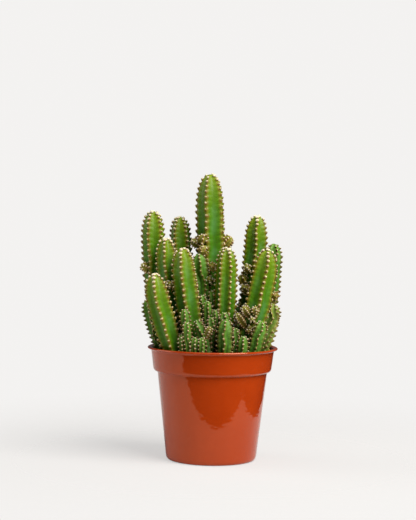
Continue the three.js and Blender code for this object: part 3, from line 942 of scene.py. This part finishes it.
def turnedMesh(name, outline, sides, closed=True):
    made = bmesh.new()
    rows = []
    for r, z in outline:
        if r < 1e-6:
            rows.append([made.verts.new((0, 0, z))] * sides)
        else:
            rows.append([made.verts.new((*onCircle(r, i, sides), z)) for i in range(sides)])
    pairs = zip(rows, rows[1:] + rows[:1]) if closed else zip(rows, rows[1:])
    for low, high in pairs:
        for i in range(sides):
            k = (i + 1) % sides
            corners = list(dict.fromkeys((low[i], low[k], high[k], high[i])))
            if len(corners) > 2:
                made.faces.new(corners)
    bmesh.ops.recalc_face_normals(made, faces=made.faces)
    mesh = bpy.data.meshes.new(name)
    made.to_mesh(mesh)
    made.free()
    for face in mesh.polygons:
        face.use_smooth = True
    return mesh


print("pot outline", len(outline), max(r for r, z in outline), max(z for r, z in outline))
potMesh = turnedMesh("pot_shell", softened(outline, potForm["corner"]), potForm["sides"])


def plasticMaterial():
    made, tree, shader = newMaterial("potPlastic")
    broad = patches(tree, 18)
    fine = patches(tree, 260, 4.0)
    colour = mixed(tree, ramped(tree, broad, 0.3, 0.7), hexColour(potForm["colour"]),
                   hexColour(potForm["shadeColour"]))
    dust = calc(tree, "MULTIPLY", ramped(tree, fine, 0.6, 0.85), 0.04)
    colour = mixed(tree, dust, colour, hexColour(potForm["dust"]))
    rough = ramped(tree, fine, 0.2, 0.8, 0.05, 0.08)
    # faint ripples left by the mould
    place = add(tree, "ShaderNodeTexCoord").outputs["Object"]
    squeezed = vectorCalc(tree, "MULTIPLY", place, (1, 1, 1.5))
    ripple = add(tree, "ShaderNodeTexNoise",
                 {"Vector": squeezed, "Scale": potForm["rippleScale"], "Detail": 1.0}).outputs[0]
    feed(tree, shader, Base_Color=colour, Roughness=rough, IOR=1.65, Specular_Tint=(1, 0.62, 0.42, 1),
         Normal=bumped(tree, ripple, potForm["rippleStrength"], potForm["rippleDepth"]))
    return made


potMesh.materials.append(plasticMaterial())
pieceOf("pot_shell", potMesh, "pot_plastic", "pot")
print("pot ready", len(potMesh.polygons))


# rise is the height of the soil's lumps, and sink is how far it drops to the wall across its edge
soilForm = {"rings": 60, "sides": 150, "rise": 0.0012, "sink": 1.3 * mm, "edge": 4 * mm, "lumps": 90,
            "grains": 420, "lumpShare": 0.6, "dark": "20150e"}
soilLow, soilHigh = nodeBoxes["soil"]
soilOutline = withoutStraights(sectionOf("soil", potForm["cutAngle"]))
soilRadius = max(r for r, z in soilOutline) * widen


def soilRelief(x, y):
    lumps, grains = soilForm["lumps"], soilForm["grains"]
    rise = noise.fractal(Vector((x * lumps, y * lumps, 0.3)), 0.8, 2.1, 4) * soilForm["lumpShare"]
    return rise + (1 - soilForm["lumpShare"]) * noise.noise(Vector((x * grains, y * grains, 1.7)))


def soilMesh():
    made = bmesh.new()
    sides = soilForm["sides"]
    rows = []
    for i in range(soilForm["rings"] + 1):
        r = soilRadius * i / soilForm["rings"]
        edge = min(1, (soilRadius - r) / soilForm["edge"])
        row = []
        for k in range(sides if i else 1):
            x, y = onCircle(r, k, sides)
            z = soilHigh.z - soilForm["sink"] * (1 - edge) + (soilRelief(x, y) - 0.5) * soilForm["rise"]
            row.append(made.verts.new((x, y, min(z, soilHigh.z))))
        rows.append(row if i else row * sides)
    footRadius, _ = min(soilOutline, key=lambda p: (p[1], -p[0]))
    rows.append([made.verts.new((*onCircle(footRadius, k, sides), soilLow.z)) for k in range(sides)])
    rows.append([made.verts.new((0, 0, soilLow.z))] * sides)
    for inner, outer in zip(rows, rows[1:]):
        for k in range(sides):
            n = (k + 1) % sides
            corners = list(dict.fromkeys((inner[k], outer[k], outer[n], inner[n])))
            if len(corners) > 2:
                made.faces.new(corners)
    bmesh.ops.recalc_face_normals(made, faces=made.faces)
    mesh = bpy.data.meshes.new("soil_bed")
    made.to_mesh(mesh)
    made.free()
    for face in mesh.polygons:
        face.use_smooth = True
    return mesh


def soilMaterial(name, dark, light):
    made, tree, shader = newMaterial(name)
    fine = patches(tree, 700, 5.0)
    colour = mixed(tree, ramped(tree, patches(tree, 160), 0.35, 0.65), hexColour(dark), hexColour(light))
    colour = mixed(tree, ramped(tree, fine, 0.35, 0.7), colour, hexColour(soilForm["dark"]))
    feed(tree, shader, Base_Color=colour, Roughness=0.93, Normal=bumped(tree, fine, 0.8, 0.001),
         Specular_IOR_Level=0.25)
    return made


def makeCrumbTree():
    tree = bpy.data.node_groups.new("soilCrumbs", "GeometryNodeTree")
    sockets(tree, "INPUT", Geometry=("Geometry", None), Spacing=("Float", 0.0018), Size=("Float", 0.001),
            Flatness=("Float", 0.6), Seed=("Int", 0), Material=("Material", None))
    sockets(tree, "OUTPUT", Geometry=("Geometry", None))
    given = tree.nodes.new("NodeGroupInput").outputs
    normal = add(tree, "GeometryNodeInputNormal").outputs[0]
    facing = add(tree, "ShaderNodeSeparateXYZ", {"Vector": normal}).outputs["Z"]
    upwards = calc(tree, "GREATER_THAN", facing, 0.5)
    scattered = add(tree, "GeometryNodeDistributePointsOnFaces",
                    {"Mesh": given["Geometry"], "Selection": upwards, "Distance Min": given["Spacing"],
                     "Density Max": 600000.0, "Seed": given["Seed"]}, distribute_method="POISSON")
    lump = add(tree, "GeometryNodeMeshIcoSphere", {"Radius": 1.0, "Subdivisions": 2}).outputs[0]
    place = add(tree, "GeometryNodeInputPosition").outputs[0]
    bumps = add(tree, "ShaderNodeTexNoise", {"Vector": place, "Scale": 1.3, "Detail": 2.0}).outputs[0]
    shaped = vectorCalc(tree, "SCALE", place, scale=calc(tree, "MULTIPLY_ADD", bumps, 1.4, 0.3))
    lump = add(tree, "GeometryNodeSetPosition", {"Geometry": lump, "Position": shaped}).outputs[0]
    turn = add(tree, "FunctionNodeRandomValue", {"Max": (0.5, 0.5, 6.28), "Seed": given["Seed"]},
               data_type="FLOAT_VECTOR").outputs[0]
    wide = drawn(tree, 0.4, 1.3, calc(tree, "ADD", given["Seed"], 5))
    across = calc(tree, "MULTIPLY", wide, given["Size"])
    size = add(tree, "ShaderNodeCombineXYZ", {"X": across, "Y": calc(tree, "MULTIPLY", across, 0.7),
               "Z": calc(tree, "MULTIPLY", across, given["Flatness"])}).outputs[0]
    crumbs = add(tree, "GeometryNodeInstanceOnPoints", {"Points": scattered.outputs["Points"],
                 "Instance": lump, "Rotation": turn, "Scale": size}).outputs[0]
    finished(tree, realized(tree, crumbs), given["Material"])
    return tree


bedMesh = soilMesh()
bedMesh.materials.append(soilMaterial("soilBed", "3a281a", "55402c"))
bed = pieceOf("soil_bed", bedMesh, "potting_soil", "soil")
crumbTree = makeCrumbTree()
crumbForms = {
    "soil_crumbs": {"Spacing": 0.0016, "Size": 0.0008, "Flatness": 0.7, "Seed": 3,
                    "Material": soilMaterial("soilCrumb", "33231a", "5d4630")},
    "bark_chips": {"Spacing": 0.0075, "Size": 0.0021, "Flatness": 0.35, "Seed": 8,
                   "Material": soilMaterial("barkChip", "5a3d26", "86623f")}}
for name, form in crumbForms.items():
    crumbs = baked(bed, crumbTree, name, **form)
    pieceOf(name, crumbs, "potting_soil")
    print("soil:", name, len(crumbs.polygons))


# the floor fades out between two distances from the pot's axis
stageForm = {"floorRadius": 0.9, "floorSides": 96, "floorDrop": 0.0002, "fadeFrom": 0.08, "fadeTo": 0.5,
             "shown": 0.4}


def floorMaterial():
    made, tree, shader = newMaterial("floor")
    place = add(tree, "ShaderNodeTexCoord").outputs["Object"]
    away = vectorCalc(tree, "LENGTH", place)
    # its far part is not seen, but still lights the pot
    fade = ramped(tree, away, stageForm["fadeFrom"], stageForm["fadeTo"], stageForm["shown"], 0.0)
    seen = add(tree, "ShaderNodeLightPath").outputs["Is Camera Ray"]
    feed(tree, shader, Base_Color=(0.64, 0.625, 0.61, 1), Roughness=0.7, Specular_IOR_Level=0.1,
         Alpha=calc(tree, "MAXIMUM", fade, calc(tree, "SUBTRACT", 1, seen)))
    return made


floorMesh = turnedMesh("floor", [(0, 0), (stageForm["floorRadius"], 0)], stageForm["floorSides"],
                       closed=False)
floorMesh.materials.append(floorMaterial())
floor = bpy.data.objects.new("floor", floorMesh)
floor.location.z = -stageForm["floorDrop"]
bpy.context.scene.collection.objects.link(floor)


# azimuth 0 is in front of the plant and 90 on its right; size is width and height
softboxes = {
    "key": {"azimuth": 46, "elevation": 44, "size": (1.5, 1.5), "power": 72, "colour": (1, 0.98, 0.95)},
    "left": {"azimuth": -100, "elevation": 22, "size": (1.2, 1.4), "power": 15, "colour": (1, 0.99, 0.97)},
    "above": {"azimuth": -10, "elevation": 80, "size": (1.4, 1.4), "power": 8, "colour": (1, 1, 1)}}
lightAway = 2.0
lightTarget = Vector((0, 0, 0.13))


def softbox(name, azimuth, elevation, size, power, colour):
    a, e = math.radians(azimuth), math.radians(elevation)
    light = bpy.data.lights.new(name, "AREA")
    light.shape = "RECTANGLE"
    light.size, light.size_y = size
    light.energy = power
    light.color = colour
    made = bpy.data.objects.new(name, light)
    out = Vector((math.sin(a) * math.cos(e), -math.cos(a) * math.cos(e), math.sin(e)))
    made.location = lightTarget + out * lightAway
    made.rotation_mode = "QUATERNION"
    made.rotation_quaternion = out.to_track_quat("Z", "Y")
    bpy.context.scene.collection.objects.link(made)


for name, form in softboxes.items():
    softbox(name, **form)

# a dark sheet lies on the floor beyond a line in front and on the right, seen only in glossy reflections: a
# painted dark reflection in the pot's plastic
darkReflectionForm = {"near": -0.125, "slope": 0.16, "right": 0.181, "waist": 0.165, "waistBack": 0.03,
            "widening": 0.07, "far": 1.6, "back": 1.2, "level": 0.0004}


def paintedDarkReflection():
    f = darkReflectionForm
    left, right = -f["far"], f["far"]
    nearLeft = f["near"] + f["slope"] * left
    corner = f["near"] + f["slope"] * f["right"]
    front = [(left, nearLeft), (left, -f["far"]), (right, -f["far"]), (right, corner), (f["right"], corner)]
    side = [(f["right"], corner), (right, corner), (right, f["back"]),
            (f["right"] + f["widening"], f["back"]), (f["waist"], f["waistBack"])]
    corners = [(x, y, f["level"]) for x, y in front + side]
    made = meshObject("painted_dark_reflection", corners, [range(5), range(5, 10)])
    material, tree, shader = newMaterial("paintedDarkReflection")
    feed(tree, shader, Base_Color=(0.012, 0.011, 0.01, 1), Roughness=1.0, Specular_IOR_Level=0.0)
    made.data.materials.append(material)
    made.visible_camera = made.visible_diffuse = made.visible_shadow = made.visible_transmission = False


paintedDarkReflection()

world = bpy.data.worlds.new("studio")
bpy.context.scene.world = world
world.use_nodes = True
tree = world.node_tree
for old in list(tree.nodes):
    tree.nodes.remove(old)
seen = add(tree, "ShaderNodeBackground", {"Color": (0.9, 0.888, 0.876, 1), "Strength": 1.0})
lit = add(tree, "ShaderNodeBackground", {"Color": (1, 0.99, 0.98, 1), "Strength": 0.1})
path = add(tree, "ShaderNodeLightPath")
both = add(tree, "ShaderNodeMixShader",
           {0: path.outputs["Is Camera Ray"], 1: lit.outputs[0], 2: seen.outputs[0]})
add(tree, "ShaderNodeOutputWorld", {"Surface": both.outputs[0]})

# the eye looks along +Y, a little down, and leans a little to one side
cameraForm = {"lens": 103.8, "sensor": 36, "place": (-0.0064, -1.380, 0.235), "down": 2.12, "lean": -0.9}
camera = bpy.data.cameras.new("camera")
camera.lens = cameraForm["lens"]
camera.sensor_width = cameraForm["sensor"]
camera.clip_start, camera.clip_end = 0.05, 20
eye = bpy.data.objects.new("camera", camera)
bpy.context.scene.collection.objects.link(eye)
eye.location = cameraForm["place"]
eye.rotation_mode = "XYZ"
eye.rotation_euler = (math.radians(90 - cameraForm["down"]), math.radians(cameraForm["lean"]), 0)
bpy.context.scene.camera = eye
bpy.context.scene.view_settings.view_transform = "Standard"
